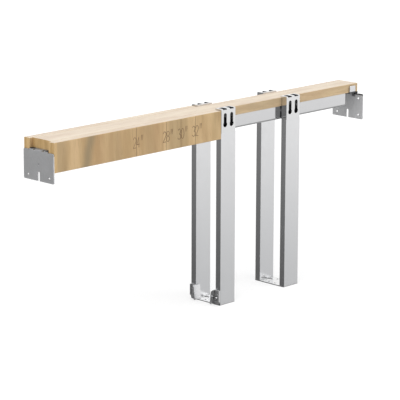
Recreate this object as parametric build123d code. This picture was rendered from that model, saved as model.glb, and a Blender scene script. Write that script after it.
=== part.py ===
from build123d import *
import os

# Pocket door frame: a timber header with a hanging track under it, two pairs of steel split studs
# that leave the pocket open between them, and the plates that tie it all to the walls and the floor.
# X runs along the header, the pocket at +X. The room side, with the size marks, faces -Y.
# Z is up from the floor, and the origin lies under the middle of the header.

# Header
header_length = 934.0
header_width = 88.9
frame_height = 425.6
board_width = 55.7
board_thickness = 19.3
board_setback = 8.4
nailer_length = 468.0
nailer_height = 60.5
timber_edge = 0.6

# Track: one extrusion, open below
track_height = 27.5
track_wall = 1.8
track_ledge = 2.4
track_slot = 14.0
track_inset = 0.8
bead_height = 2.6
rail_width = 3.0
rail_height = 1.0
rail_from_slot = 3.5
track_screw_count = 6
track_screw_margin = 60.0

# End plates
plate_thickness = 2.0
plate_height = 58.2
plate_drop = 24.2
left_shoulder_rise = 2.4
plate_corner = 3.0
tongue_length = 39.6
tongue_bend = 2.6
tongue_to_track = 3.0
plate_slot_width = 5.5
plate_slot_length = 19.0
nail_hole = 4.6
nail_hole_reach = 31.2
low_hole_up = 9.8
high_hole_down = 10.8
centre_dimple_up = 33.2
centre_dimple_depth = 1.3
bend_slot_width = 6.0
bend_slot_reach = 13.4
bend_slot_cut = 2.6
relief_radius = 1.2
ear_width = 18.2
ear_from_plate = 13.4
ear_drop = 4.0
ear_corner = 2.4
ear_inner_bend = 2.0
tongue_screw_from_end = 8.0
tongue_screw_reach = 16.0

# Split studs: closed box sections
stud_width = 45.1
stud_depth = 13.9
stud_wall = 1.2
stud_corner = 0.8
stud_face_inset = 0.9
first_stud_gap = 0.8
stud_pitch = 204.2

# Hangers, which carry the studs on the header
hanger_sheet = 1.6
hanger_inset = 1.2
hanger_bend = 2.0
hanger_web = 1.2
lip_thickness = 3.0
lip_on_board = 2.4
lip_gap_reach = 10.5
lip_gap_width = 11.8
lip_gap_drop = 2.4
plug_depth = 12.0
plug_rise = 3.0
plug_clearance = 0.6
stud_below_track = 2.0
keyhole_reach = 9.8
keyhole_slot = 8.8
keyhole_slot_top = 6.6
keyhole_round = 5.9
keyhole_round_down = 31.0

# Floor plates
floor_sheet = 2.0
floor_corner = 1.6
floor_tab_height = 22.0
floor_tab_clearance = 1.5
floor_big_hole = 15.0
floor_big_reach = 21.0
floor_screw_hole = 4.6
floor_screw_x = 14.0
floor_screw_y = 9.0

# Door guides at the mouth of the pocket
guide_thickness = 2.8
guide_foot_y = 22.6
guide_lean = 3.4
guide_height = 31.0
guide_ahead = 10.6
guide_behind = 9.4
wing_thickness = 1.6
wing_foot_gap = 0.4
wing_foot_corner = 8.0
wing_flange = 4.4
wing_hole = 3.6
wing_hole_y = 38.0
wing_hole_up = 23.0
wing_slot_width = 5.0
wing_slot_length = 12.0
wing_slot_y = 33.0
wing_slot_up = 12.5
guide_corner = 2.2

# Screws
screw_head = 4.0
screw_head_rise = 2.2
screw_shank = 1.9
screw_head_round = 1.0
board_screw_length = 14.0
guide_screw_length = 9.0

# How far a cutter runs past the face it starts from, and how near counts as the same place
overrun = 1.0
near = 0.1

# Worked out from the sizes above
left_face = -header_length / 2
right_face = header_length / 2
header_side = header_width / 2
board_side = board_width / 2
board_bottom = frame_height - board_thickness
board_left = left_face + plate_thickness + board_setback
board_right = right_face - plate_thickness
nailer_left = left_face + plate_thickness
nailer_right = nailer_left + nailer_length
track_bottom = board_bottom - track_height
track_left = left_face + tongue_length + tongue_to_track
track_right = right_face - tongue_length - tongue_to_track
track_side = board_side - track_inset
plate_top = frame_height - plate_drop
plate_bottom = plate_top - plate_height
stud_outer = header_side - stud_face_inset
stud_inner = stud_outer - stud_depth
stud_top = track_bottom - stud_below_track
stud_lefts = [nailer_right + first_stud_gap + i * stud_pitch for i in range(2)]
hanger_inner = stud_outer - hanger_sheet

os.makedirs("parts", exist_ok=True)


def block(x0, x1, y0, y1, z0, z1):
    """A box between two corners."""
    size = Box(x1 - x0, y1 - y0, z1 - z0)
    return Pos((x0 + x1) / 2, (y0 + y1) / 2, (z0 + z1) / 2) * size


def rod(radius, start, direction, length):
    """A round bar from a point along a direction."""
    return extrude(Plane(origin=start, z_dir=direction) * Circle(radius), length)


def sheet_outline(points, plane, depth):
    """A flat outline given as points, made into a plate."""
    outline = Polyline(*points, close=True)
    return extrude(plane * make_face(outline), depth)


def edges_along(shape, axis, test):
    """The straight edges along an axis whose middle passes a test."""
    return [edge for edge in shape.edges().filter_by(axis) if test(edge.center())]


def save(shape, name):
    export_step(shape, "parts/" + name + ".step")


def to_back(shape):
    return shape.mirror(Plane.XZ)


# Timber

def timber(x0, x1, y0, y1, z0, z1):
    piece = block(x0, x1, y0, y1, z0, z1)
    return chamfer(piece.edges().filter_by(Axis.X), timber_edge)


def top_board():
    """The board over the track, drilled for the screws that come up into it."""
    board = timber(board_left, board_right, -board_side, board_side, board_bottom, frame_height)
    for x in screw_places():
        board -= rod(screw_shank, (x, 0, board_bottom - track_wall), (0, 0, 1), board_screw_length)
    for x, y in tongue_screw_places():
        for place in (x, -x):
            start = (place, y, board_bottom - plate_thickness)
            board -= rod(screw_shank, start, (0, 0, 1), board_screw_length)
    return board


def front_nailer():
    foot = frame_height - nailer_height
    return timber(nailer_left, nailer_right, -header_side, -board_side, foot, frame_height)


# Track

def track():
    """Closed above, with a ledge each side of the slot where the truck wheels roll."""
    half_slot = track_slot / 2
    inner = track_side - track_wall
    ledge_top = track_bottom + track_ledge
    rail_out = half_slot + rail_from_slot
    half = [
        (0, board_bottom),
        (track_side, board_bottom),
        (track_side, track_bottom + bead_height),
        (board_side, track_bottom + bead_height),
        (board_side, track_bottom),
        (half_slot, track_bottom),
        (half_slot, ledge_top),
        (rail_out, ledge_top),
        (rail_out, ledge_top + rail_height),
        (rail_out + rail_width, ledge_top + rail_height),
        (rail_out + rail_width, ledge_top),
        (inner, ledge_top),
        (inner, board_bottom - track_wall),
        (0, board_bottom - track_wall),
    ]
    plane = Plane(origin=(track_left, 0, 0), x_dir=(0, 1, 0), z_dir=(1, 0, 0))
    side = sheet_outline(half, plane, track_right - track_left)
    whole = side + side.mirror(Plane.XZ)
    for position in screw_places():
        hole = rod(screw_shank, (position, 0, board_bottom), (0, 0, -1), track_wall)
        whole -= hole
    return whole


def screw_places():
    """The track's screws, evenly spaced along it."""
    first = track_left + track_screw_margin
    step = (track_right - track_left - 2 * track_screw_margin) / (track_screw_count - 1)
    return [first + i * step for i in range(track_screw_count)]


def screw(start, into, length):
    """A pan head that lies outside a face, with its shank going in."""
    out = tuple(-value for value in into)
    head = rod(screw_head, start, out, screw_head_rise)
    rim = head.edges().filter_by(GeomType.CIRCLE).sort_by(Axis(start, out))[-1]
    return fillet(rim, screw_head_round) + rod(screw_shank, start, into, length)


def track_screws():
    height = board_bottom - track_wall
    return Compound([screw((x, 0, height), (0, 0, 1), board_screw_length) for x in screw_places()])


# End plates

def end_plate(on_right):
    """An upright sheet whose tongue turns in under the board. The right one has ears and more holes."""
    x0 = left_face
    x1 = left_face + plate_thickness
    shoulder = plate_top if on_right else plate_top + left_shoulder_rise
    upright = block(x0, x1, -header_side, header_side, plate_bottom, shoulder)
    plate = fillet(upright.edges().filter_by(Axis.X), plate_corner) + tongue()
    for side in (-1, 1):
        plate -= hole_through_plate(side * nail_hole_reach, plate_bottom + low_hole_up)
        plate -= bend_slot(side)
        relief = (x0 - overrun, side * (board_side + relief_radius / 2), shoulder)
        plate -= rod(relief_radius, relief, (1, 0, 0), plate_thickness + 2 * overrun)
        if on_right:
            plate -= hole_through_plate(side * nail_hole_reach, plate_top - high_hole_down)
            plate += ear(side)
    dimple = (x0, 0, plate_bottom + centre_dimple_up)
    plate -= rod(nail_hole / 2, dimple, (1, 0, 0), centre_dimple_depth)
    plate -= plate_slot()
    for x, y in tongue_screw_places():
        start = (x, y, board_bottom - plate_thickness - overrun)
        plate -= rod(screw_shank, start, (0, 0, 1), plate_thickness + 2 * overrun)
    return plate


def tongue():
    """The part of the plate that is bent over to lie under the board."""
    x0 = left_face
    x1 = left_face + plate_thickness
    top = board_bottom
    low = board_bottom - plate_thickness
    foot = plate_top - plate_corner
    profile = [(x0, foot), (x0, top), (x0 + tongue_length, top), (x0 + tongue_length, low), (x1, low), (x1, foot)]
    plane = Plane(origin=(0, board_side, 0), x_dir=(1, 0, 0), z_dir=(0, -1, 0))
    sheet = sheet_outline(profile, plane, board_width)
    outside = edges_along(sheet, Axis.Y, lambda c: c.X < x0 + near and c.Z > top - near)
    sheet = fillet(outside, tongue_bend)
    inside = edges_along(sheet, Axis.Y, lambda c: abs(c.X - x1) < near and abs(c.Z - low) < near)
    return fillet(inside, tongue_bend - plate_thickness)


def bend_slot(side):
    """A slot across the bend, which made it easier to turn."""
    middle = side * bend_slot_reach
    half = bend_slot_width / 2
    return block(left_face - overrun, left_face + tongue_bend + bend_slot_cut, middle - half, middle + half,
                 board_bottom - bend_slot_cut, board_bottom + overrun)


def hole_through_plate(y, z):
    return rod(nail_hole / 2, (left_face - overrun, y, z), (1, 0, 0), plate_thickness + 2 * overrun)


def plate_slot():
    """The slot that is open at the bottom edge and round at its top."""
    half = plate_slot_width / 2
    top = plate_bottom + plate_slot_length - half
    x0 = left_face - overrun
    through = plate_thickness + 2 * overrun
    straight = block(x0, x0 + through, -half, half, plate_bottom - overrun, top)
    return straight + rod(half, (x0, 0, top), (1, 0, 0), through)


def ear(side):
    """A flap bent up from the tongue, which leaves it a little off the side of the board."""
    x0 = left_face + ear_from_plate
    x1 = x0 + ear_width
    low = board_bottom - plate_thickness
    high = frame_height - ear_drop
    inner = board_side + ear_inner_bend
    outer = inner + plate_thickness
    flap = block(x0, x1, inner, outer, low, high)
    flap = fillet(edges_along(flap, Axis.Y, lambda c: c.Z > high - near), ear_corner)
    flap += block(x0, x1, board_side - plate_thickness, inner, low, board_bottom)
    foot = edges_along(flap, Axis.X, lambda c: c.Z < low + near and c.Y > outer - near)
    flap = fillet(foot, ear_inner_bend + plate_thickness)
    crook = edges_along(flap, Axis.X, lambda c: abs(c.Z - board_bottom) < near and abs(c.Y - inner) < near)
    flap = fillet(crook, ear_inner_bend)
    return flap if side > 0 else to_back(flap)


def tongue_screw_places():
    x = left_face + tongue_length - tongue_screw_from_end
    return [(x, side * tongue_screw_reach) for side in (-1, 1)]


def tongue_screws():
    height = board_bottom - plate_thickness
    return Compound([screw((x, y, height), (0, 0, 1), board_screw_length)
                     for x, y in tongue_screw_places()])


# Split studs

def front_stud(left):
    middle = (left + stud_width / 2, -(stud_outer + stud_inner) / 2)
    outside = RectangleRounded(stud_width, stud_depth, stud_corner)
    hollow = Rectangle(stud_width - 2 * stud_wall, stud_depth - 2 * stud_wall)
    section = Pos(middle[0], middle[1], floor_sheet) * (outside - hollow)
    stud = extrude(section, stud_top - floor_sheet)
    if left == stud_lefts[0]:
        start = (left - overrun, -wing_slot_y, floor_sheet + wing_slot_up)
        stud -= rod(screw_shank, start, (1, 0, 0), stud_wall + 2 * overrun)
    return stud


# Hangers

def front_hanger(left):
    """A sheet-metal tube, flush with its stud, with a keyhole plate and a folded lip over its top."""
    x0 = left + hanger_inset
    x1 = left + stud_width - hanger_inset
    web_face = board_side + hanger_web
    shell = block(x0, x1, -stud_outer, -board_side, stud_top, frame_height)
    shell -= block(x0 + hanger_sheet, x1 - hanger_sheet, -hanger_inner, -web_face,
                   stud_top - overrun, frame_height + overrun)
    shell -= block(x0 - overrun, x1 + overrun, -web_face, -board_side + overrun,
                   stud_top - overrun, board_bottom)
    top = frame_height + lip_thickness
    shell += block(x0, x1, -stud_outer, -board_side + lip_on_board, frame_height, top)
    bend = edges_along(shell, Axis.X, lambda c: c.Y < -stud_outer + near and c.Z > top - near)
    shell = fillet(bend, hanger_bend)
    centre = (x0 + x1) / 2
    for side in (-1, 1):
        shell -= lip_gap(centre + side * lip_gap_reach)
        shell -= keyhole(centre + side * keyhole_reach)
    return shell + plug(left)


def lip_gap(x):
    """An opening through the lip, which also takes a notch out of the plate's top edge."""
    half = lip_gap_width / 2
    top = frame_height + lip_thickness
    web_face = board_side + hanger_web
    over_hollow = block(x - half, x + half, -hanger_inner, -web_face, frame_height - overrun, top + overrun)
    in_bend = block(x - half, x + half, -stud_outer - overrun, -hanger_inner + near,
                    top - lip_gap_drop, top + overrun)
    return over_hollow + in_bend


def plug(left):
    """The lower end of the keyhole plate, set back to go inside the stud."""
    side = stud_wall + plug_clearance
    outer = stud_outer - stud_wall
    return block(left + side, left + stud_width - side, -outer, -outer + hanger_sheet,
                 stud_top - plug_depth, stud_top + plug_rise)


def keyhole(x):
    """A long slot that opens into a round hole below it."""
    half = keyhole_slot / 2
    high = frame_height - keyhole_slot_top - half
    low = frame_height - keyhole_round_down
    start = -stud_outer - overrun
    depth = hanger_sheet + 2 * overrun
    slot = block(x - half, x + half, start, start + depth, low, high)
    slot += rod(half, (x, start, high), (0, 1, 0), depth)
    return slot + rod(keyhole_round, (x, start, low), (0, 1, 0), depth)


# Floor plates

def floor_plate(left):
    """A strap under both studs of a pair, its ends turned up inside them."""
    right = left + stud_width
    through = floor_sheet + 2 * overrun
    strap = block(left, right, -stud_outer, stud_outer, 0, floor_sheet)
    strap = fillet(edges_along(strap, Axis.X, lambda c: c.Z < near), floor_corner)
    inset = stud_wall + floor_tab_clearance
    outer = stud_outer - stud_wall
    for side in (-1, 1):
        tab = block(left + inset, right - inset, outer - floor_sheet, outer,
                    floor_sheet, floor_sheet + floor_tab_height)
        strap += tab if side > 0 else to_back(tab)
        big = ((left + right) / 2, side * floor_big_reach, -overrun)
        strap -= rod(floor_big_hole / 2, big, (0, 0, 1), through)
        for across in (-1, 1):
            small = ((left + right) / 2 + across * floor_screw_x, side * floor_screw_y, -overrun)
            strap -= rod(floor_screw_hole / 2, small, (0, 0, 1), through)
    return strap


# Door guides

def front_door_guide():
    """A leaning blade that steers the door's foot, on a wing fixed to the stud's side."""
    return guide_blade() + guide_wing()


def guide_blade():
    base = floor_sheet
    top = base + guide_height
    profile = [
        (-guide_foot_y, base),
        (-guide_foot_y - guide_thickness, base),
        (-guide_foot_y - guide_thickness - guide_lean, top),
        (-guide_foot_y - guide_lean, top),
    ]
    plane = Plane(origin=(stud_lefts[0] - guide_ahead, 0, 0), x_dir=(0, 1, 0), z_dir=(1, 0, 0))
    blade = sheet_outline(profile, plane, guide_ahead + guide_behind)
    return fillet(edges_along(blade, Axis.Y, lambda c: c.Z > top - near), guide_corner)


def guide_wing():
    """The wing, with a round hole and a slot, and a flange at its outer edge."""
    x1 = stud_lefts[0]
    x0 = x1 - wing_thickness
    top = floor_sheet + guide_height
    through = wing_thickness + 2 * overrun
    wing = block(x0, x1, -stud_outer, -guide_foot_y - guide_lean, wing_foot_gap, top)
    corner = edges_along(wing, Axis.X, lambda c: c.Y < -stud_outer + near and c.Z < wing_foot_gap + near)
    wing = fillet(corner, wing_foot_corner)
    wing += block(x1 - wing_flange, x1, -stud_outer, -stud_outer + wing_thickness,
                  wing_foot_gap + wing_foot_corner, top)
    hole = (x0 - overrun, -wing_hole_y, floor_sheet + wing_hole_up)
    wing -= rod(wing_hole / 2, hole, (1, 0, 0), through)
    radius = wing_slot_width / 2
    middle = floor_sheet + wing_slot_up
    half = wing_slot_length / 2 - radius
    wing -= block(x0 - overrun, x1 + overrun, -wing_slot_y - radius, -wing_slot_y + radius,
                  middle - half, middle + half)
    for end in (-half, half):
        wing -= rod(radius, (x0 - overrun, -wing_slot_y, middle + end), (1, 0, 0), through)
    return wing


def guide_screws():
    place = (stud_lefts[0] - wing_thickness, -wing_slot_y, floor_sheet + wing_slot_up)
    front = screw(place, (1, 0, 0), guide_screw_length)
    return Compound([front, to_back(front)])


save(top_board(), "top_board")
save(front_nailer(), "front_nailer")
save(to_back(front_nailer()), "back_nailer")
save(track(), "track")
save(track_screws(), "track_screws")
save(end_plate(False), "left_end_plate")
save(end_plate(True).mirror(Plane.YZ), "right_end_plate")
save(tongue_screws(), "left_plate_screws")
save(tongue_screws().mirror(Plane.YZ), "right_plate_screws")
for number, left in enumerate(stud_lefts, 1):
    stud = front_stud(left)
    hanger = front_hanger(left)
    save(stud, "front_stud_%d" % number)
    save(to_back(stud), "back_stud_%d" % number)
    save(hanger, "front_hanger_%d" % number)
    save(to_back(hanger), "back_hanger_%d" % number)
    save(floor_plate(left), "floor_plate_%d" % number)
save(front_door_guide(), "front_door_guide")
save(to_back(front_door_guide()), "back_door_guide")
save(guide_screws(), "guide_screws")
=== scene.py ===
import math

import bmesh
import bpy
from mathutils import Matrix, Vector


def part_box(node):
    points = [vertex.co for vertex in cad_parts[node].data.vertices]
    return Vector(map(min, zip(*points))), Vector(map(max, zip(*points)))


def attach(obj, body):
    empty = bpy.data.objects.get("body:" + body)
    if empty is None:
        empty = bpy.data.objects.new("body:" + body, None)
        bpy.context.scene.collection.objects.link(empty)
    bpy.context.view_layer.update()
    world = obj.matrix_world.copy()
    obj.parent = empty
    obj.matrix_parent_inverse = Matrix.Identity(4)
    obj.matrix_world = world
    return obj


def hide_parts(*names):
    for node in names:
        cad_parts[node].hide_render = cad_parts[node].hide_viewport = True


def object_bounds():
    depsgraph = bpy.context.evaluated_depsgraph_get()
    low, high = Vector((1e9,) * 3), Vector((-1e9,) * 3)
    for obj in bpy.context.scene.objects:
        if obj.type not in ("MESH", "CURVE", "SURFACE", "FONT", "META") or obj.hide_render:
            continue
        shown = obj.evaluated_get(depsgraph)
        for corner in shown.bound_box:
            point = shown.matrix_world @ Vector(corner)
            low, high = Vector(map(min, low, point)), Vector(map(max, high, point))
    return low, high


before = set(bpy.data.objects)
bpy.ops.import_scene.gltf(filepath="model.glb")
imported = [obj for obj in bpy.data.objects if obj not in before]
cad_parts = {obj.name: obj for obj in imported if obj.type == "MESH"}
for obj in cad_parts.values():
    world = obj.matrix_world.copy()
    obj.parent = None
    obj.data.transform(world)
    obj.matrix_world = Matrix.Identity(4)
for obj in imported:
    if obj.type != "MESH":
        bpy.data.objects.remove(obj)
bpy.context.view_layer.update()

# Camera: places in metres, angles in degrees
camera_place = (-3.03247, -2.94985, 1.23074)
camera_turn = 45.0
camera_tilt = 13.351
camera_lens = 183.36
camera_sensor = 36.0
camera_shift = 0.0568

# Studio
floor_reach = 30.0
floor_drop = 0.0002
floor_bounce = 0.25
floor_mirrored = 0.8
floor_seen_near = 0.60
floor_seen_far = 0.85
floor_near_reach = 0.7
floor_far_reach = 2.6
world_fill = 0.62
bright_side = (1.0, 0.0, 0.0)
dark_side_low = 0.086
dark_side_level = 0.268
light_side_low = 0.558
light_side_level = 1.018
low_look = -0.33
level_look = -0.14
overhead_look = (0.02, 0.30)
lamp_aim = (0, 0, 0.25)
top_lamp_power = 48
key_lamp_power = 26
fill_lamp_power = 56

# Size marks, measured from the left end of the front nailer
mark_sizes = (24, 28, 30, 32)
first_mark_reach = 0.2215
reach_per_inch = 0.0212
mark_line_width = 0.0007
mark_stroke_width = 0.00115
mark_rise = 0.00015
mark_sink = 0.0001
digit_width = 0.0081
digit_height = 0.0214
digit_from_line = 0.0008
digit_middle_down = 0.0315
inch_stroke_height = 0.0112
inch_stroke_top = 0.0016
inch_stroke_foot = 0.0006
inch_stroke_gap = 0.0036
inch_from_digit = 0.0054
inch_above_digit = 0.0032
inch_lean = 0.0011

# Wear, painted edge highlights and painted corner shade: how much of each tone is mixed in
timber_edge_wear_and_highlight = 0.3
timber_edge_radius = 0.0009
timber_corner_painted_shade = 0.12
timber_pore_tone = 0.25
board_paleness = 0.3
metal_scratches = 0.2
metal_edge_wear_and_highlight = 0.3
metal_edge_radius = 0.0004
metal_corner_painted_shade = 0.45
shade_roughness = 0.6

# Stains of the timber and its painted corner highlight, and places of the metal with painted shade
stain_place = 0.461
stain_lean = 0.22
stain_width = 0.020
corner_highlight_place = -0.4575
painted_floor_shade_top = 0.40
hanger_sheet = 0.0016
hanger_skin = 0.9
bend_over_plate = 0.0049
outer_wall = 0.0006
bend_slot_end = 0.40
band_reach = (0.018, 0.046)
blob_reach = (0.012, 0.022)
tongue_reach = (-0.001, 0.0282)
tongue_start = 0.45
bend_reach = (0.4644, 0.468)
bead_width = 0.04
track_reach = 0.6
lip_gap_reach = 0.0105
lip_gap_half = 0.0060
keyhole_foot = 0.4035
hair = 0.0001

# Screws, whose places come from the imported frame
screw_head_radius = 0.004
screw_head_rise = 0.0022
screw_shank_radius = 0.0019
track_screw_count = 6
ring_points = 48


# Colours are given as they show on a screen, 0 to 255

def linear(channel):
    share = channel / 255
    return share / 12.92 if share <= 0.04045 else ((share + 0.055) / 1.055) ** 2.4


def paint(red, green, blue):
    return (linear(red), linear(green), linear(blue), 1.0)


# Node trees

def add(tree, kind, inputs=None, **settings):
    """A new node, its inputs given as values or as other nodes' outputs."""
    made = tree.nodes.new("ShaderNode" + kind)
    for name, value in settings.items():
        setattr(made, name, value)
    for name, value in (inputs or {}).items():
        if isinstance(value, bpy.types.NodeSocket):
            tree.links.new(value, made.inputs[name])
        else:
            made.inputs[name].default_value = value
    return made


def sum_of(tree, first, second, operation="ADD"):
    return add(tree, "Math", {0: first, 1: second}, operation=operation).outputs[0]


def times(tree, first, second):
    return sum_of(tree, first, second, "MULTIPLY")


def stretch(tree, value, low, high, new_low=0.0, new_high=1.0, soft=True):
    """A value moved from one range to another and held inside it."""
    kind = "SMOOTHSTEP" if soft else "LINEAR"
    inputs = {"Value": value, "From Min": low, "From Max": high, "To Min": new_low, "To Max": new_high}
    return add(tree, "MapRange", inputs, interpolation_type=kind, clamp=True).outputs["Result"]


def blend_colour(tree, share, first, second, kind="MIX"):
    made = add(tree, "Mix", data_type="RGBA", blend_type=kind, clamp_factor=True)
    for socket, value in ((made.inputs["Factor"], share), (made.inputs[6], first), (made.inputs[7], second)):
        if isinstance(value, bpy.types.NodeSocket):
            tree.links.new(value, socket)
        else:
            socket.default_value = value
    return made.outputs[2]


def scaled_place(tree, place, scale, turn=(0, 0, 0)):
    return add(tree, "Mapping", {"Vector": place, "Scale": scale, "Rotation": turn}).outputs["Vector"]


def noise(tree, place, scale, detail=3.0, rough=0.55, distortion=0.0):
    inputs = {"Vector": place, "Scale": scale, "Detail": detail, "Roughness": rough, "Distortion": distortion}
    return add(tree, "TexNoise", inputs).outputs["Fac"]


def new_group(name, inputs, outputs):
    """An empty group with its sockets, given as (name, kind, value)."""
    tree = bpy.data.node_groups.new(name, "ShaderNodeTree")
    for label, kind, value in inputs:
        socket = tree.interface.new_socket(label, in_out="INPUT", socket_type="NodeSocket" + kind)
        if value is not None:
            socket.default_value = value
    for label, kind in outputs:
        tree.interface.new_socket(label, in_out="OUTPUT", socket_type="NodeSocket" + kind)
    return tree, tree.nodes.new("NodeGroupInput").outputs, tree.nodes.new("NodeGroupOutput").inputs


def use_group(tree, name, **values):
    """Places a shared group; a word's underscore stands for a space in its socket's name."""
    made = tree.nodes.new("ShaderNodeGroup")
    made.node_tree = bpy.data.node_groups[name]
    for label, value in values.items():
        socket = made.inputs[label.replace("_", " ")]
        if isinstance(value, bpy.types.NodeSocket):
            tree.links.new(value, socket)
        else:
            socket.default_value = value
    return made.outputs


# Shared effects

def make_timber_figure():
    """Grain on one face. The place's X runs across the bands and its Y along them, in metres."""
    tree, given, out = new_group(
        "timber figure",
        [("Place", "Vector", None), ("Seed", "Float", 0.0), ("Band Width", "Float", 0.02),
         ("Streak Width", "Float", 0.0015), ("Lean", "Float", 0.15)],
        [("Bands", "Float"), ("Patches", "Float"), ("Streaks", "Float"), ("Pores", "Float")])
    parts = add(tree, "SeparateXYZ", {0: given["Place"]}).outputs
    bend = noise(tree, given["Place"], 9.0, 2.0)
    leaning = times(tree, parts["Y"], given["Lean"])
    across = sum_of(tree, sum_of(tree, parts["X"], leaning), times(tree, bend, 0.02))
    slow = times(tree, parts["Y"], 0.12)
    seeded = times(tree, given["Seed"], 7.31)
    face = add(tree, "CombineXYZ", {0: across, 1: slow, 2: seeded}).outputs[0]
    wide = sum_of(tree, 0.5, given["Band Width"], "DIVIDE")
    fine = sum_of(tree, 0.5, given["Streak Width"], "DIVIDE")
    bands = noise(tree, face, wide, 2.5, 0.6, 0.4)
    patches = noise(tree, face, times(tree, wide, 0.42), 1.0, 0.4, 0.8)
    streaks = noise(tree, face, fine, 3.0, 0.65)
    dash_place = add(tree, "CombineXYZ", {0: across, 1: times(tree, parts["Y"], 0.06), 2: seeded}).outputs[0]
    dashes = noise(tree, dash_place, times(tree, fine, 2.6), 1.0, 0.4)
    links = tree.links
    links.new(stretch(tree, bands, 0.32, 0.70), out["Bands"])
    links.new(stretch(tree, patches, 0.56, 0.74), out["Patches"])
    links.new(stretch(tree, streaks, 0.30, 0.72), out["Streaks"])
    links.new(stretch(tree, dashes, 0.66, 0.74), out["Pores"])


def make_zinc_spangle():
    """The frosted crystals of a zinc coat."""
    tree, given, out = new_group(
        "zinc spangle",
        [("Place", "Vector", None), ("Crystal Size", "Float", 0.006), ("Seed", "Float", 0.0)],
        [("Tone", "Float"), ("Height", "Float")])
    moved = add(tree, "VectorMath", {0: given["Place"], 1: given["Seed"]}, operation="ADD").outputs[0]
    wobble = add(tree, "TexNoise", {"Vector": moved, "Scale": 160.0, "Detail": 1.0}).outputs["Color"]
    bent = add(tree, "VectorMath", {0: wobble, 1: (0.003, 0.003, 0.003), 2: moved},
               operation="MULTIPLY_ADD").outputs[0]
    density = sum_of(tree, 1.0, given["Crystal Size"], "DIVIDE")
    cells = add(tree, "TexVoronoi", {"Vector": bent, "Scale": density}, feature="F1").outputs
    shade = add(tree, "SeparateColor", {0: cells["Color"]}).outputs[0]
    frost = noise(tree, bent, times(tree, density, 3.0), 2.0, 0.6)
    tone = sum_of(tree, times(tree, shade, 0.6), times(tree, frost, 0.4))
    tree.links.new(tone, out["Tone"])
    tree.links.new(cells["Distance"], out["Height"])


def make_rolled_lines():
    """Fine straight lines that a roller or a die leaves. The scale is small along the lines."""
    tree, given, out = new_group(
        "rolled lines",
        [("Place", "Vector", None), ("Scale", "Vector", (1.0, 1.0, 1.0)), ("Seed", "Float", 0.0)],
        [("Lines", "Float"), ("Height", "Float")])
    moved = add(tree, "VectorMath", {0: given["Place"], 1: given["Seed"]}, operation="ADD").outputs[0]
    drawn = add(tree, "VectorMath", {0: moved, 1: given["Scale"]}, operation="MULTIPLY").outputs[0]
    broad = noise(tree, drawn, 1.0, 3.0, 0.6)
    thin = noise(tree, drawn, 6.0, 2.0, 0.5)
    both = sum_of(tree, times(tree, broad, 0.65), times(tree, thin, 0.35))
    tree.links.new(stretch(tree, both, 0.3, 0.7), out["Lines"])
    tree.links.new(thin, out["Height"])


def make_handling_marks():
    """Hairline scratches and soft smudges from being handled."""
    tree, given, out = new_group(
        "handling marks",
        [("Place", "Vector", None), ("Seed", "Float", 0.0)],
        [("Scratches", "Float"), ("Smudges", "Float")])
    moved = add(tree, "VectorMath", {0: given["Place"], 1: given["Seed"]}, operation="ADD").outputs[0]
    ways = ((0.5, (900.0, 26.0, 900.0)), (-0.9, (26.0, 900.0, 760.0)), (1.9, (820.0, 820.0, 22.0)))
    marks = None
    for turn, scale in ways:
        drawn = scaled_place(tree, moved, scale, (turn * 0.4, turn * 0.6, turn))
        line = stretch(tree, noise(tree, drawn, 1.0, 1.0, 0.4), 0.735, 0.78)
        marks = line if marks is None else sum_of(tree, marks, line, "MAXIMUM")
    smudges = stretch(tree, noise(tree, moved, 34.0, 4.0, 0.6, 0.6), 0.42, 0.72)
    tree.links.new(marks, out["Scratches"])
    tree.links.new(smudges, out["Smudges"])


def make_soft_edges():
    """Rounds the look of sharp edges, and says where they are worn and where they get a painted highlight."""
    tree, given, out = new_group(
        "soft edges",
        [("Place", "Vector", None), ("Radius", "Float", 0.0006), ("Chips", "Float", 0.4)],
        [("Edge", "Float"), ("Normal", "Vector")])
    rounded = add(tree, "Bevel", {"Radius": given["Radius"]}, samples=6).outputs[0]
    plain = add(tree, "NewGeometry").outputs["Normal"]
    along = add(tree, "VectorMath", {0: rounded, 1: plain}, operation="DOT_PRODUCT").outputs["Value"]
    turned = stretch(tree, along, 0.999, 0.93)
    grit = stretch(tree, noise(tree, given["Place"], 420.0, 3.0, 0.7), 0.35, 0.65)
    kept = sum_of(tree, 1.0, times(tree, given["Chips"], grit), "SUBTRACT")
    tree.links.new(times(tree, turned, kept), out["Edge"])
    tree.links.new(rounded, out["Normal"])


def make_cavity_shade():
    """Says how deep a spot lies in a corner, a joint or a hole."""
    tree, given, out = new_group("cavity shade", [("Reach", "Float", 0.01)], [("Shade", "Float")])
    open_share = add(tree, "AmbientOcclusion", {"Distance": given["Reach"]}, samples=8).outputs["AO"]
    tree.links.new(stretch(tree, open_share, 0.85, 0.25), out["Shade"])


# Materials

def new_material(name):
    """A material with its surface shader, its tree and the place on the object in metres."""
    made = bpy.data.materials.new(name)
    made.use_nodes = True
    tree = made.node_tree
    tree.nodes.clear()
    shader = add(tree, "BsdfPrincipled")
    output = add(tree, "OutputMaterial", {"Surface": shader.outputs[0]})
    output.is_active_output = True
    place = add(tree, "TexCoord").outputs["Object"]
    return made, tree, shader, place


def finish_surface(tree, shader, colour, roughness, height, normal, bump_strength, bump_depth):
    """Feeds the shader from the worked-out colour, roughness and height."""
    bump = add(tree, "Bump", {"Strength": bump_strength, "Distance": bump_depth, "Height": height,
                              "Normal": normal}).outputs[0]
    for name, value in (("Base Color", colour), ("Roughness", roughness), ("Normal", bump)):
        tree.links.new(value, shader.inputs[name])


def face_shares(tree):
    """How far a face looks along each axis, as three masks."""
    normal = add(tree, "NewGeometry").outputs["True Normal"]
    size = add(tree, "VectorMath", {0: normal}, operation="ABSOLUTE").outputs[0]
    parts = add(tree, "SeparateXYZ", {0: size}).outputs
    return [stretch(tree, parts[axis], 0.70, 0.76, soft=False) for axis in "XYZ"]


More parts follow.
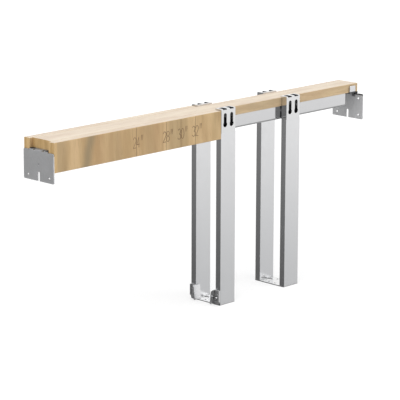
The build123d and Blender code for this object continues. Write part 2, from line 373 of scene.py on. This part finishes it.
def box_share(tree, place, low, high, soft):
    """One inside a box and nothing outside it, with a soft rim. All four quarters are measured alike."""
    folded = add(tree, "VectorMath", {0: place}, operation="ABSOLUTE").outputs[0]
    middle = [(a + b) / 2 for a, b in zip(low, high)]
    offset = add(tree, "VectorMath", {0: folded, 1: middle}, operation="SUBTRACT").outputs[0]
    away = add(tree, "VectorMath", {0: offset}, operation="ABSOLUTE").outputs[0]
    parts = add(tree, "SeparateXYZ", {0: away}).outputs
    share = None
    for axis, a, b, rim in zip("XYZ", low, high, soft):
        half = (b - a) / 2
        inside = stretch(tree, parts[axis], half + rim, half - rim)
        share = inside if share is None else times(tree, share, inside)
    return share


def face_place(tree, parts, across, along, seed):
    shifted = sum_of(tree, parts[along], seed * 0.37)
    return add(tree, "CombineXYZ", {0: parts[across], 1: shifted, 2: seed}).outputs[0]


def side_face_colour(tree, parts, seed, upright):
    """The long faces: broad soft bands of tan and gold, with rosy and olive ones among them."""
    across, along = ("X", "Z") if upright else ("Z", "X")
    wide = 1.0 if upright else 0.35
    grain = use_group(tree, "timber figure", Place=face_place(tree, parts, across, along, seed), Seed=seed,
                      Band_Width=0.021 * wide, Streak_Width=0.0026 * wide, Lean=0.05)
    rosy = use_group(tree, "timber figure", Place=face_place(tree, parts, across, along, seed + 3.7),
                     Seed=seed + 3.7, Band_Width=0.034 * wide, Streak_Width=0.004 * wide, Lean=-0.06)
    colour = blend_colour(tree, grain["Bands"], paint(181, 150, 105), paint(217, 188, 142))
    colour = blend_colour(tree, times(tree, rosy["Bands"], 0.4), colour, paint(194, 157, 117))
    colour = blend_colour(tree, times(tree, grain["Patches"], 0.45), colour, paint(156, 134, 98))
    colour = blend_colour(tree, times(tree, grain["Streaks"], 0.16), colour, paint(158, 126, 84))
    return colour, grain


def top_face_colour(tree, parts, seed):
    """The top and the underside: pale cream, partly their own tone and partly a painted sheen, with long soft
    streaks.
    """
    grain = use_group(tree, "timber figure", Place=face_place(tree, parts, "Y", "X", seed), Seed=seed + 1.3,
                      Band_Width=0.013, Streak_Width=0.0018, Lean=0.02)
    colour = blend_colour(tree, grain["Bands"], paint(208, 191, 172), paint(222, 209, 190))
    colour = blend_colour(tree, times(tree, grain["Patches"], 0.35), colour, paint(206, 184, 166))
    colour = blend_colour(tree, times(tree, grain["Streaks"], 0.16), colour, paint(192, 170, 146))
    return colour, grain


def end_face_colour(tree, parts, seed):
    """The sawn ends: warmer, with close upright lines."""
    grain = use_group(tree, "timber figure", Place=face_place(tree, parts, "Y", "Z", seed), Seed=seed + 5.1,
                      Band_Width=0.006, Streak_Width=0.0011, Lean=0.06)
    colour = blend_colour(tree, grain["Bands"], paint(192, 157, 103), paint(221, 188, 135))
    colour = blend_colour(tree, times(tree, grain["Streaks"], 0.25), colour, paint(160, 124, 76))
    return colour, grain


def mineral_stain(tree, parts, colour):
    """The grey-green stain that leans across the front nailer, and a pale band near its end, a painted
    highlight of a rounded corner.
    """
    across = sum_of(tree, parts["X"], times(tree, parts["Z"], stain_lean), "SUBTRACT")
    wobble = times(tree, sum_of(tree, noise(tree, parts["Z"], 22.0, 2.0), -0.5), 0.008)
    offset = sum_of(tree, sum_of(tree, across, wobble), stain_place)
    away = add(tree, "Math", {0: offset}, operation="ABSOLUTE").outputs[0]
    colour = blend_colour(tree, stretch(tree, away, stain_width, 0.0, 0.0, 0.72), colour, paint(140, 126, 98))
    # Painted highlight: a pale band standing in for a rounded corner near the end
    corner_highlight = stretch(tree, parts["X"], corner_highlight_place + 0.002, corner_highlight_place - 0.002, 0.0, 0.6)
    return blend_colour(tree, corner_highlight, colour, paint(216, 182, 128))


def timber(name, seed, upright=True, stained=False):
    """Planed softwood whose figure differs on its long faces, its top and its ends.

    A board whose grain lies flat has paler sides than one whose grain stands upright.
    """
    made, tree, shader, place = new_material(name)
    parts = add(tree, "SeparateXYZ", {0: place}).outputs
    end_share, _, top_share = face_shares(tree)
    side, side_grain = side_face_colour(tree, parts, seed, upright)
    if stained:
        side = mineral_stain(tree, parts, side)
    if not upright:
        side = blend_colour(tree, board_paleness, side, paint(214, 196, 168))
    top, top_grain = top_face_colour(tree, parts, seed)
    end, end_grain = end_face_colour(tree, parts, seed)
    colour = blend_colour(tree, top_share, side, top)
    colour = blend_colour(tree, end_share, colour, end)
    lines = side_grain["Streaks"]
    pores = side_grain["Pores"]
    for share, grain in ((top_share, top_grain), (end_share, end_grain)):
        lines = add(tree, "Mix", {0: share, 2: lines, 3: grain["Streaks"]}).outputs[0]
        pores = add(tree, "Mix", {0: share, 2: pores, 3: grain["Pores"]}).outputs[0]
    colour = blend_colour(tree, times(tree, pores, timber_pore_tone), colour, paint(132, 102, 66))
    edges = use_group(tree, "soft edges", Place=place, Radius=timber_edge_radius, Chips=0.6)
    # Lighter edges: partly wear, partly a painted highlight of the rounded edge
    colour = blend_colour(tree, times(tree, edges["Edge"], timber_edge_wear_and_highlight), colour, paint(226, 202, 164))
    # Painted shade: darker where corners and joints are enclosed
    corner = use_group(tree, "cavity shade", Reach=0.012)
    colour = blend_colour(tree, times(tree, corner["Shade"], timber_corner_painted_shade), colour, paint(112, 86, 56))
    roughness = stretch(tree, lines, 0.0, 1.0, 0.50, 0.64)
    height = sum_of(tree, times(tree, lines, -0.5), times(tree, pores, -0.8))
    finish_surface(tree, shader, colour, roughness, height, edges["Normal"], 0.35, 0.0004)
    shader.inputs["Specular IOR Level"].default_value = 0.5
    return made


def sheet_metal(name, colour, dark, roughness, seed, crystal=0.006, spangle=0.1,
                line_scale=(300.0, 300.0, 3.0), lines=0.1, metallic=1.0, painted_floor_shade=0.0, shades=()):
    """Bright sheet: faint crystals, roller lines, scratches and smudges, with edges lightened by wear and by
    a painted highlight, and painted shade in its corners.

    The painted floor shade darkens it towards the floor. Shades are boxes, as (low, high, soft, share), where
    painted shade makes it dark and rough.
    """
    made, tree, shader, place = new_material(name)
    zinc = use_group(tree, "zinc spangle", Place=place, Crystal_Size=crystal, Seed=seed)
    rolled = use_group(tree, "rolled lines", Place=place, Scale=line_scale, Seed=seed)
    handled = use_group(tree, "handling marks", Place=place, Seed=seed)
    edges = use_group(tree, "soft edges", Place=place, Radius=metal_edge_radius, Chips=0.5)
    tone = blend_colour(tree, times(tree, zinc["Tone"], spangle), paint(*colour), paint(*dark))
    tone = blend_colour(tree, times(tree, rolled["Lines"], lines), tone, paint(*dark))
    # Painted shade: darker towards the floor, standing in for light falling off low down
    if painted_floor_shade:
        height = add(tree, "SeparateXYZ", {0: place}).outputs["Z"]
        tone = blend_colour(tree, stretch(tree, height, painted_floor_shade_top, 0.0, 0.0, painted_floor_shade), tone, paint(*dark))
    tone = blend_colour(tree, times(tree, handled["Scratches"], metal_scratches), tone, paint(245, 245, 245))
    # Lighter edges: partly wear, partly a painted highlight of the rounded edge
    tone = blend_colour(tree, times(tree, edges["Edge"], metal_edge_wear_and_highlight), tone, paint(248, 248, 248))
    # Painted shade: darker in enclosed corners, joints and holes
    corner = use_group(tree, "cavity shade", Reach=0.008)
    tone = blend_colour(tree, times(tree, corner["Shade"], metal_corner_painted_shade), tone, paint(70, 70, 72))
    rough = sum_of(tree, roughness, times(tree, sum_of(tree, zinc["Tone"], -0.5), 0.06))
    rough = sum_of(tree, rough, times(tree, handled["Smudges"], 0.05))
    rough = sum_of(tree, rough, times(tree, rolled["Lines"], 0.03))
    # Painted shade: each box is painted near black and rougher, standing in for shadow
    for low, high, soft, share in shades:
        painted_shade_share = times(tree, box_share(tree, place, low, high, soft), share)
        tone = blend_colour(tree, painted_shade_share, tone, paint(30, 30, 32))
        rough = add(tree, "Mix", {0: painted_shade_share, 2: rough, 3: shade_roughness}).outputs[0]
    height = sum_of(tree, times(tree, rolled["Height"], 0.6), times(tree, handled["Scratches"], -0.6))
    finish_surface(tree, shader, tone, rough, height, edges["Normal"], 0.08, 0.00006)
    shader.inputs["Metallic"].default_value = metallic
    return made


def mark_ink():
    """Thin brown ink that took unevenly on the wood."""
    made, tree, shader, place = new_material("mark ink")
    grain = use_group(tree, "timber figure", Place=place, Seed=2.0, Band_Width=0.004, Streak_Width=0.0006,
                      Lean=0.0)
    colour = blend_colour(tree, grain["Bands"], paint(104, 80, 54), paint(134, 107, 75))
    roughness = stretch(tree, grain["Streaks"], 0.0, 1.0, 0.6, 0.75)
    normal = add(tree, "NewGeometry").outputs["Normal"]
    finish_surface(tree, shader, colour, roughness, grain["Streaks"], normal, 0.2, 0.0001)
    return made


# Meshes

def new_piece(name, mesh_maker, material):
    """A piece from a bmesh, with its material, riding on the frame."""
    shape = bmesh.new()
    mesh_maker(shape)
    bmesh.ops.recalc_face_normals(shape, faces=shape.faces)
    mesh = bpy.data.meshes.new(name)
    shape.to_mesh(mesh)
    shape.free()
    mesh.materials.append(material)
    piece = bpy.data.objects.new(name, mesh)
    bpy.context.scene.collection.objects.link(piece)
    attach(piece, "root")
    return piece


def smooth_below(piece, degrees):
    for face in piece.data.polygons:
        face.use_smooth = True
    piece.data.set_sharp_from_angle(angle=math.radians(degrees))


def ribbon(shape, points, width, closed=False, last_width=None):
    """A flat stroke along points (x, z) on the front nailer, as a thin closed solid."""
    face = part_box("front_nailer")[0].y
    count = len(points)
    sides = []
    for i, point in enumerate(points):
        before = points[i - 1] if i or closed else point
        after = points[(i + 1) % count] if i < count - 1 or closed else point
        ahead = (Vector(after) - Vector(point)) if after != point else (Vector(point) - Vector(before))
        behind = (Vector(point) - Vector(before)) if before != point else ahead
        along = (ahead.normalized() + behind.normalized()).normalized()
        across = Vector((-along.y, along.x))
        lean = max(0.45, across.dot(Vector((-ahead.y, ahead.x)).normalized()))
        grown = width if last_width is None else width + (last_width - width) * i / (count - 1)
        half = across * (grown / 2 / lean)
        corners = []
        for offset in (half, -half):
            for depth in (-mark_rise, mark_sink):
                corner = (point[0] + offset.x, face + depth, point[1] + offset.y)
                corners.append(shape.verts.new(corner))
        sides.append(corners)
    pairs = list(zip(sides, sides[1:] + sides[:1])) if closed else list(zip(sides, sides[1:]))
    for near, far in pairs:
        for a, b in ((0, 1), (1, 3), (3, 2), (2, 0)):
            shape.faces.new((near[a], near[b], far[b], far[a]))
    if not closed:
        for end in (sides[0], sides[-1]):
            shape.faces.new((end[0], end[1], end[3], end[2]))


def arc(x, z, wide, high, start, stop, steps=14):
    """Points on part of an oval, between two angles in degrees."""
    turns = [math.radians(start + (stop - start) * i / steps) for i in range(steps + 1)]
    return [(x + wide * math.cos(turn), z + high * math.sin(turn)) for turn in turns]


def digit_strokes(digit):
    """Strokes of a digit in a box one wide and one high, as (points, closed)."""
    if digit == "0":
        return [(arc(0.5, 0.5, 0.5, 0.5, 0, 345, 23), True)]
    if digit == "2":
        return [(arc(0.5, 0.73, 0.5, 0.27, 165, -35) + [(0.0, 0.0), (1.0, 0.0)], False)]
    if digit == "3":
        return [(arc(0.46, 0.755, 0.44, 0.245, 155, -90), False),
                (arc(0.46, 0.255, 0.54, 0.255, 90, -155), False)]
    if digit == "4":
        return [([(0.74, 0.0), (0.74, 1.0), (0.0, 0.30), (1.0, 0.30)], False)]
    return [(arc(0.5, 0.76, 0.42, 0.24, 0, 345, 19), True), (arc(0.5, 0.26, 0.5, 0.26, 0, 345, 21), True)]


def draw_digit(shape, digit, left, low):
    for points, closed in digit_strokes(digit):
        placed = [(left + x * digit_width, low + z * digit_height) for x, z in points]
        ribbon(shape, placed, mark_stroke_width, closed)


def size_mark(inches, ink):
    """A line across the nailer's face, with the size written over it."""
    low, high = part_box("front_nailer")
    x = low.x + first_mark_reach + (inches - mark_sizes[0]) * reach_per_inch
    foot = high.z - digit_middle_down - digit_height / 2

    def line(shape):
        ribbon(shape, [(x, low.z + mark_line_width), (x, high.z - mark_line_width)], mark_line_width)

    def label(shape):
        tens, ones = str(inches)
        draw_digit(shape, tens, x - digit_from_line - digit_width, foot)
        draw_digit(shape, ones, x + digit_from_line, foot)
        start = x + digit_from_line + digit_width + inch_from_digit
        for place in (start, start + inch_stroke_gap):
            top = foot + digit_height + inch_above_digit
            stroke = [(place - inch_lean, top - inch_stroke_height), (place, top)]
            ribbon(shape, stroke, inch_stroke_foot, last_width=inch_stroke_top)

    new_piece("size_line_%d" % inches, line, ink)
    new_piece("size_number_%d" % inches, label, ink)


def turned(shape, start, along, rings):
    """A closed round form along an axis. Each ring is (distance, radius), a radius also as a function."""
    turn = Vector(along).to_track_quat("Z", "Y").to_matrix().to_4x4()
    matrix = Matrix.Translation(start) @ turn
    rows = []
    for distance, radius in rings:
        row = []
        for i in range(ring_points):
            angle = 2 * math.pi * i / ring_points
            reach = radius(angle) if callable(radius) else radius
            point = Vector((reach * math.cos(angle), reach * math.sin(angle), distance))
            row.append(shape.verts.new(matrix @ point))
        rows.append(row)
    for near, far in zip(rows, rows[1:]):
        for i in range(ring_points):
            j = (i + 1) % ring_points
            shape.faces.new((near[i], near[j], far[j], far[i]))
    shape.faces.new(rows[0])
    shape.faces.new(rows[-1][::-1])


def cross_recess(size):
    """The outline of a cross-shaped driver recess, as a radius for each angle."""
    def radius(angle):
        fold = abs((angle + math.pi / 4) % (math.pi / 2) - math.pi / 4)
        arm = size * 0.32
        return min(size, arm / max(math.sin(fold), 1e-6), arm * 1.2 + size * 0.7 * max(0.0, 1 - fold / 0.5))
    return radius


def pan_screw(shape, start, into, length):
    """A pan head with a cross recess, and a threaded shank. Distances run along the shank."""
    head = screw_head_radius
    rise = screw_head_rise
    recess_foot = cross_recess(head * 0.22)
    recess_wall = cross_recess(head * 0.58)
    recess_rim = cross_recess(head * 0.66)
    rings = [(-rise * 0.40, recess_foot), (-rise * 0.96, recess_wall), (-rise, recess_rim)]
    for share in (0.99, 0.95, 0.88, 0.78, 0.64):
        rings.append((-rise * share, head * (1 - (share ** 2) * 0.30 - max(0.0, share - 0.85) * 0.9)))
    rings += [(-rise * 0.2, head), (0.0, head), (0.0, screw_shank_radius)]
    pitch = 0.0013
    turns = int((length - 0.003) / pitch)
    for i in range(turns):
        rings.append((0.0008 + i * pitch, screw_shank_radius * 0.78))
        rings.append((0.0008 + (i + 0.5) * pitch, screw_shank_radius))
    rings += [(length - 0.0022, screw_shank_radius * 0.7), (length, screw_shank_radius * 0.1)]
    turned(shape, start, into, rings)


def track_screw_pieces(steel):
    low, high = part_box("track_screws")
    first = low.x + screw_head_radius
    step = (high.x - low.x - 2 * screw_head_radius) / (track_screw_count - 1)
    height = low.z + screw_head_rise
    length = high.z - height

    def shape_all(shape):
        for i in range(track_screw_count):
            pan_screw(shape, (first + i * step, 0, height), (0, 0, 1), length)

    return new_piece("pan_screws_track", shape_all, steel), "track_screws"


def plate_screw_pieces(side, steel):
    low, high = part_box(side + "_plate_screws")
    height = low.z + screw_head_rise

    def shape_all(shape):
        for y in (low.y + screw_head_radius, high.y - screw_head_radius):
            pan_screw(shape, ((low.x + high.x) / 2, y, height), (0, 0, 1), high.z - height)

    return new_piece("pan_screws_%s_plate" % side, shape_all, steel), side + "_plate_screws"


def guide_screw_pieces(steel):
    low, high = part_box("guide_screws")

    def shape_all(shape):
        for y in (low.y + screw_head_radius, high.y - screw_head_radius):
            start = (low.x + screw_head_rise, y, (low.z + high.z) / 2)
            pan_screw(shape, start, (1, 0, 0), high.x - start[0])

    return new_piece("pan_screws_guides", shape_all, steel), "guide_screws"


def fasteners(steel):
    """Screws with finished heads and threads, in place of the plain ones."""
    made = [track_screw_pieces(steel), guide_screw_pieces(steel)]
    made += [plate_screw_pieces(side, steel) for side in ("left", "right")]
    for piece, node in made:
        smooth_below(piece, 35)
        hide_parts(node)


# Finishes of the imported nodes

def give(material, *nodes):
    for node in nodes:
        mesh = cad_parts[node].data
        for i in range(len(mesh.materials)):
            mesh.materials[i] = material


def plate_shades():
    """Painted shade: dark in the slots of the bends and under the ears, and fainter on both tongues and their
    bends.
    """
    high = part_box("left_end_plate")[1]
    wall = high.z - bend_over_plate
    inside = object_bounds()[1][0] - outer_wall
    over = high.z + 0.001
    band = ((bend_slot_end, band_reach[0], wall - 0.0032), (inside, band_reach[1], high.z + 0.0022),
            (3 * hair, 6 * hair, 6 * hair), 0.85)
    blob = ((bend_slot_end, blob_reach[0], wall - 0.0080), (inside, blob_reach[1], wall),
            (3 * hair, 24 * hair, 24 * hair), 0.75)
    tongue = ((tongue_start, tongue_reach[0], high.z - 0.0012), (inside, tongue_reach[1], over),
              (4 * hair, 4 * hair, 4 * hair), 0.55)
    bend_end = tongue_reach[1] + 3 * hair
    bend = ((bend_reach[0], tongue_reach[0], high.z - 0.0024), (bend_reach[1], bend_end, over),
            (3 * hair, 3 * hair, 3 * hair), 0.35)
    return band, blob, tongue, bend


def track_shades():
    """Painted shade along the groove over the bead at the track's lower edge."""
    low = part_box("track")[0].z
    rim = (2 * hair, 2 * hair, 2 * hair)
    groove = ((0.0, 0.0, low - 0.001), (track_reach, bead_width, low + 0.0027), rim, 0.50)
    return (groove,)


def hanger_shades(number):
    """Painted shade in the hollow behind a hanger's keyholes, darker at their feet, and in the two gaps in
    its lip.
    """
    low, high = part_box("front_hanger_%d" % number)
    side = hanger_sheet * hanger_skin
    _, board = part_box("top_board")
    rim = (hair, hair, hair)
    back = -low.y - side
    lit_wall = high.x - hanger_sheet - 3 * hair
    upper = ((low.x + side, board.y - hair, keyhole_foot), (lit_wall, back, board.z + 0.0006), rim, 0.75)
    foot = ((low.x + side, board.y - hair, low.z - 0.01), (high.x - side, back, keyhole_foot), rim, 0.97)
    middle = (low.x + high.x) / 2
    gaps = []
    for away in (-lip_gap_reach, lip_gap_reach):
        left = middle + away - lip_gap_half
        right = middle + away + lip_gap_half
        gaps.append(((left, board.y + 0.001, board.z), (right, -low.y - hair, high.z - 3 * hair), rim, 0.9))
    return upper, foot, *gaps


def finish_timber():
    give(timber("timber of the top board", 4.0, upright=False), "top_board")
    give(timber("timber of the front nailer", 11.0, stained=True), "front_nailer")
    give(timber("timber of the back nailer", 23.0), "back_nailer")


def finish_track():
    give(sheet_metal("extruded aluminium", (216, 216, 217), (200, 201, 203), 0.06, 1.0, crystal=0.02,
                     spangle=0.03, line_scale=(2.0, 500.0, 500.0), lines=0.12, shades=track_shades()),
         "track")


def finish_end_plates():
    # Painted light: one finish in two copies, whose metallic differs only to set each plate's brightness
    # under this light
    for side, metallic in (("left", 0.93), ("right", 0.60)):
        give(sheet_metal("galvanised %s end plate" % side, (232, 232, 233), (206, 208, 211), 0.50, 2.0,
                         crystal=0.005, spangle=0.3, lines=0.1, metallic=metallic, shades=plate_shades()),
             side + "_end_plate")


def finish_studs_and_hangers():
    bright = sheet_metal("galvanised stud", (236, 236, 237), (204, 206, 209), 0.16, 3.0, crystal=0.007,
                         spangle=0.08, line_scale=(420.0, 420.0, 2.0), lines=0.10, painted_floor_shade=0.35)
    for number in (1, 2):
        hanger = sheet_metal("zinc-plated hanger %d" % number, (231, 231, 231), (212, 213, 215), 0.07, 4.0,
                             crystal=0.004, spangle=0.08, lines=0.05, shades=hanger_shades(number))
        for side in ("front", "back"):
            give(bright, "%s_stud_%d" % (side, number))
            give(hanger, "%s_hanger_%d" % (side, number))


def finish_feet():
    strap = sheet_metal("zinc-plated floor plate", (238, 238, 238), (206, 207, 209), 0.14, 5.0, crystal=0.004,
                        spangle=0.1, line_scale=(300.0, 3.0, 300.0), lines=0.1)
    give(strap, "floor_plate_1", "floor_plate_2")
    guide = sheet_metal("zinc-plated door guide", (228, 228, 229), (190, 191, 194), 0.16, 6.0, crystal=0.004,
                        spangle=0.12, lines=0.1, metallic=0.9)
    give(guide, "front_door_guide", "back_door_guide")


# Studio

def white_to_the_eye(tree, tone, seen, glossy):
    """Camera rays see one tone, mirrored rays another, and the rest a third."""
    path = add(tree, "LightPath").outputs
    mirrored = sum_of(tree, path["Is Glossy Ray"], path["Is Transmission Ray"], "MAXIMUM")
    first = add(tree, "Mix", {0: mirrored, 2: tone, 3: glossy}).outputs[0]
    return add(tree, "Mix", {0: path["Is Camera Ray"], 2: first, 3: seen}).outputs[0]


def studio_world():
    """White to the eye; in the metal it is bright on the right, dark on the left and darker low down."""
    world = bpy.data.worlds.new("studio")
    bpy.context.scene.world = world
    world.use_nodes = True
    tree = world.node_tree
    tree.nodes.clear()
    direction = add(tree, "TexCoord").outputs["Generated"]
    toward = add(tree, "VectorMath", {0: direction, 1: bright_side}, operation="DOT_PRODUCT").outputs["Value"]
    height = add(tree, "SeparateXYZ", {0: direction}).outputs["Z"]
    dark_end = stretch(tree, height, low_look, level_look, dark_side_low, dark_side_level)
    light_end = stretch(tree, height, low_look, level_look, light_side_low, light_side_level)
    sideways = add(tree, "Mix", {0: stretch(tree, toward, -0.5, 0.5), 2: dark_end, 3: light_end}).outputs[0]
    mirror = add(tree, "Mix", {0: stretch(tree, height, *overhead_look), 2: sideways, 3: 1.0}).outputs[0]
    strength = white_to_the_eye(tree, world_fill, 1.0, mirror)
    light = add(tree, "Background", {"Color": (1, 1, 1, 1), "Strength": strength}).outputs[0]
    add(tree, "OutputWorld", {"Surface": light})


def studio_floor():
    """A pale floor that stays near white and keeps a soft shadow."""
    shape = bmesh.new()
    corners = [(-floor_reach, -floor_reach), (floor_reach, -floor_reach), (floor_reach, floor_reach),
               (-floor_reach, floor_reach)]
    shape.faces.new([shape.verts.new((x, y, -floor_drop)) for x, y in corners])
    mesh = bpy.data.meshes.new("studio_floor")
    shape.to_mesh(mesh)
    shape.free()
    made = bpy.data.materials.new("pale floor")
    made.use_nodes = True
    tree = made.node_tree
    tree.nodes.clear()
    place = add(tree, "TexCoord").outputs["Object"]
    mottle = noise(tree, place, 3.0, 3.0)
    colour = blend_colour(tree, times(tree, mottle, 0.2), paint(176, 176, 176), paint(172, 172, 172))
    lit = add(tree, "BsdfDiffuse", {"Color": colour}).outputs[0]
    reach = add(tree, "VectorMath", {0: place}, operation="LENGTH").outputs["Value"]
    seen = stretch(tree, reach, floor_near_reach, floor_far_reach, floor_seen_near, floor_seen_far)
    strength = white_to_the_eye(tree, floor_bounce, seen, floor_mirrored)
    glow = add(tree, "Emission", {"Strength": strength}).outputs[0]
    both = add(tree, "AddShader", {0: lit, 1: glow}).outputs[0]
    add(tree, "OutputMaterial", {"Surface": both})
    mesh.materials.append(made)
    floor = bpy.data.objects.new("studio_floor", mesh)
    bpy.context.scene.collection.objects.link(floor)
    floor.visible_glossy = False


def softbox(name, place, aim, width, height, power):
    """An area lamp that looks at a point."""
    lamp = bpy.data.lights.new(name, "AREA")
    lamp.shape = "RECTANGLE"
    lamp.size = width
    lamp.size_y = height
    lamp.energy = power
    made = bpy.data.objects.new(name, lamp)
    made.location = place
    made.rotation_euler = (Vector(aim) - Vector(place)).to_track_quat("-Z", "Y").to_euler()
    bpy.context.scene.collection.objects.link(made)


def studio_lamps():
    softbox("top softbox", (-0.3, -0.4, 3.2), lamp_aim, 2.6, 2.6, top_lamp_power)
    softbox("key softbox", (1.6, -3.0, 1.9), lamp_aim, 2.2, 2.0, key_lamp_power)
    softbox("left fill", (-4.6, -1.9, 2.0), lamp_aim, 3.0, 3.0, fill_lamp_power)


def studio_camera():
    lens = bpy.data.cameras.new("camera")
    lens.lens = camera_lens
    lens.sensor_width = camera_sensor
    lens.shift_x = camera_shift
    lens.clip_end = 200.0
    camera = bpy.data.objects.new("camera", lens)
    camera.location = camera_place
    camera.rotation_euler = (math.radians(90 - camera_tilt), 0, math.radians(-camera_turn))
    bpy.context.scene.collection.objects.link(camera)
    bpy.context.scene.camera = camera


def build():
    bpy.context.scene.view_settings.view_transform = "Standard"
    make_timber_figure()
    make_zinc_spangle()
    make_rolled_lines()
    make_handling_marks()
    make_soft_edges()
    make_cavity_shade()
    finish_timber()
    finish_track()
    finish_end_plates()
    finish_studs_and_hangers()
    finish_feet()
    ink = mark_ink()
    for inches in mark_sizes:
        size_mark(inches, ink)
    fasteners(sheet_metal("zinc-plated screw", (204, 204, 206), (150, 151, 154), 0.3, 7.0, crystal=0.002))
    studio_camera()
    studio_world()
    studio_floor()
    studio_lamps()


build()
